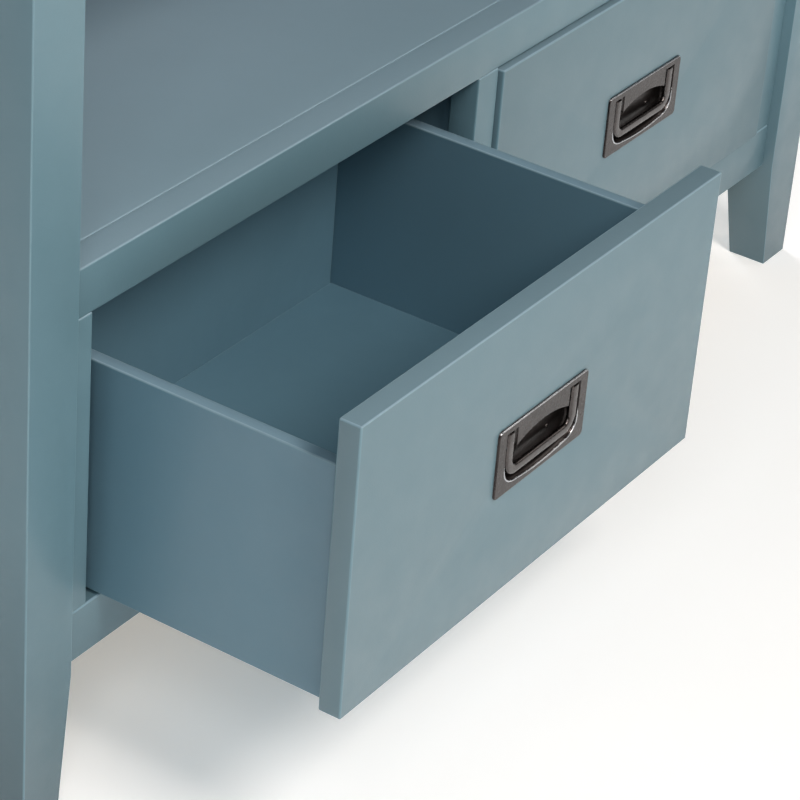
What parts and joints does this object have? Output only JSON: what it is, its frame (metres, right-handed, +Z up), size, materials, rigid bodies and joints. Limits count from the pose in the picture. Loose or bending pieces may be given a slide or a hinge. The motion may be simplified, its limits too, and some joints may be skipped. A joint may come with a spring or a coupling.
{
  "type": "secretary desk",
  "caption": "Painted secretary desk with side-by-side inset drawers under an open shelf and a fall-front writing compartment on tapered legs.",
  "frame": {"origin": "on the floor, at the centre of the footprint that the stored pose covers, so the left drawer, pulled out, counts in the depth", "axes": "+Z up, +X to the right along the front, -Y out of the front, where the drawers and the lid open"},
  "size_m": [1.13, 0.5976, 1.2],
  "materials": {
    "paint": "satin blue-grey paint on wood boards",
    "inside_paint": "satin blue-grey paint, inside the case",
    "bare_wood": "unpainted hardwood and thin plywood",
    "pewter": "dark antique pewter plating, worn bright on the edges",
    "dark_pewter": "dark pressed steel cup",
    "steel": "plain steel",
    "brown_plastic": "moulded catch body"
  },
  "bodies": {
    "case": {"post_front_left": "paint", "post_front_right": "paint", "post_back_left": "paint", "post_back_right": "paint", "side_panel_left": "paint", "side_panel_right": "paint", "shelf_panel": "paint", "desk_floor": "paint", "top_panel": "paint", "rail_bottom_front": "paint", "rail_bottom_back": "paint", "rail_middle": "paint", "rail_desk": "paint", "stile_left": "paint", "stile_right": "paint", "stile_centre": "paint", "organiser_shelf": "paint", "organiser_divider_1": "paint", "organiser_divider_2": "paint", "organiser_divider_3": "paint", "back_panel": "inside_paint", "drawer_divider": "inside_paint", "dust_panel": "bare_wood", "runner_left_outer": "bare_wood", "runner_left_inner": "bare_wood", "runner_right_outer": "bare_wood", "runner_right_inner": "bare_wood", "support_guide_left": "bare_wood", "support_guide_right": "bare_wood", "lid_pin_left": "steel", "lid_pin_right": "steel", "lid_catch": "brown_plastic"},
    "drawer_left": {"drawer_left_front": "paint", "drawer_left_side_a": "paint", "drawer_left_side_b": "paint", "drawer_left_back": "paint", "drawer_left_floor": "paint", "pull_plate_drawer_left": "pewter", "pull_cup_drawer_left": "dark_pewter"},
    "drawer_right": {"drawer_right_front": "paint", "drawer_right_side_a": "paint", "drawer_right_side_b": "paint", "drawer_right_back": "paint", "drawer_right_floor": "paint", "pull_plate_drawer_right": "pewter", "pull_cup_drawer_right": "dark_pewter"},
    "lid": {"lid": "paint", "lid_strike": "steel", "pull_plate_lid": "pewter", "pull_cup_lid": "dark_pewter"},
    "support_bar_left": {"support_bar_left": "paint", "support_knob_left": "pewter"},
    "support_bar_right": {"support_bar_right": "paint", "support_knob_right": "pewter"},
    "bail_drawer_left": {"pull_bail_drawer_left": "pewter"},
    "bail_drawer_right": {"pull_bail_drawer_right": "pewter"},
    "bail_lid": {"pull_bail_lid": "pewter"}
  },
  "joints": [
    {"name": "drawer_left_slide", "type": "slide", "parent": "case", "child": "drawer_left", "axis": [0, -1, 0], "range_m": [-0.2098, 0.0702]},
    {"name": "drawer_right_slide", "type": "slide", "parent": "case", "child": "drawer_right", "axis": [0, -1, 0], "range_m": [0, 0.28]},
    {"name": "lid_fall", "type": "hinge", "parent": "case", "child": "lid", "pos_m": [0, -0.07415, 0.746], "axis": [1, 0, 0], "range_deg": [0, 90]},
    {"name": "support_bar_left_slide", "type": "slide", "parent": "case", "child": "support_bar_left", "axis": [0, -1, 0], "range_m": [0, 0.29]},
    {"name": "support_bar_right_slide", "type": "slide", "parent": "case", "child": "support_bar_right", "axis": [0, -1, 0], "range_m": [0, 0.29]},
    {"name": "bail_drawer_left_swing", "type": "hinge", "parent": "drawer_left", "child": "bail_drawer_left", "pos_m": [-0.246, -0.29435, 0.27865], "axis": [-1, 0, 0], "range_deg": [0, 90]},
    {"name": "bail_drawer_right_swing", "type": "hinge", "parent": "drawer_right", "child": "bail_drawer_right", "pos_m": [0.246, -0.08455, 0.27865], "axis": [-1, 0, 0], "range_deg": [0, 90]},
    {"name": "bail_lid_swing", "type": "hinge", "parent": "lid", "child": "bail_lid", "pos_m": [0, -0.08075, 1.1155], "axis": [-1, 0, 0], "range_deg": [0, 90]}
  ]
}
